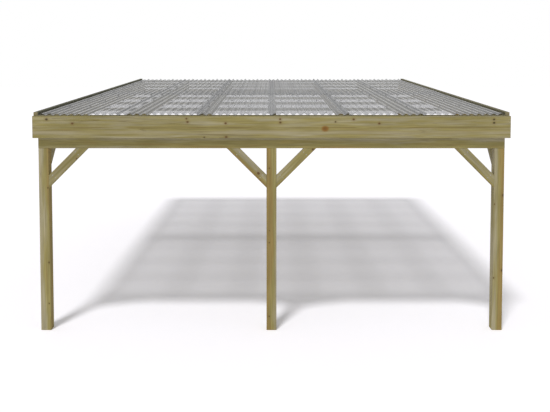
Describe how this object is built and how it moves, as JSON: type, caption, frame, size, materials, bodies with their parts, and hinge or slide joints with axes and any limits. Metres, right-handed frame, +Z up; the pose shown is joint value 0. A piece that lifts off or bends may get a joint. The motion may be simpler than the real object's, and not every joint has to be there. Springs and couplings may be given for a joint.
{
  "type": "lean-to carport",
  "caption": "Wide lean-to carport of treated timber: posts with knee braces carry a front beam, and rafters run back to a wall plate under lapped corrugated sheets.",
  "frame": {"origin": "middle of the wall plate's back face, where it meets the wall; the ground is 2.254 m below", "axes": "+Y from the open front back into the wall, +X to the right as seen from the front, +Z up"},
  "size_m": [4.966, 6.045, 2.5096],
  "materials": {
    "treated_timber": "planed softwood, pressure treated to a green-brown tint",
    "roof_sheet": "clear corrugated plastic with a grey tint",
    "zinc_fixing": "galvanised steel screws"
  },
  "bodies": {
    "root": {"post_left": "treated_timber", "post_middle": "treated_timber", "post_right": "treated_timber", "front_beam": "treated_timber", "wall_plate": "treated_timber", "side_beam_left": "treated_timber", "side_beam_right": "treated_timber", "front_fascia": "treated_timber", "side_plank_left": "treated_timber", "side_plank_right": "treated_timber", "brace_corner_left": "treated_timber", "brace_middle_left": "treated_timber", "brace_middle_right": "treated_timber", "brace_corner_right": "treated_timber", "side_brace_left": "treated_timber", "side_brace_right": "treated_timber", "rafter_1": "treated_timber", "rafter_2": "treated_timber", "rafter_3": "treated_timber", "rafter_4": "treated_timber", "rafter_5": "treated_timber", "batten_1": "treated_timber", "batten_2": "treated_timber", "batten_3": "treated_timber", "batten_4": "treated_timber", "batten_5": "treated_timber", "batten_6": "treated_timber", "batten_7": "treated_timber", "batten_8": "treated_timber", "batten_9": "treated_timber", "sheet_front_1": "roof_sheet", "sheet_front_2": "roof_sheet", "sheet_front_3": "roof_sheet", "sheet_front_4": "roof_sheet", "sheet_front_5": "roof_sheet", "sheet_front_6": "roof_sheet", "sheet_back_1": "roof_sheet", "sheet_back_2": "roof_sheet", "sheet_back_3": "roof_sheet", "sheet_back_4": "roof_sheet", "sheet_back_5": "roof_sheet", "sheet_back_6": "roof_sheet"}
  },
  "joints": []
}
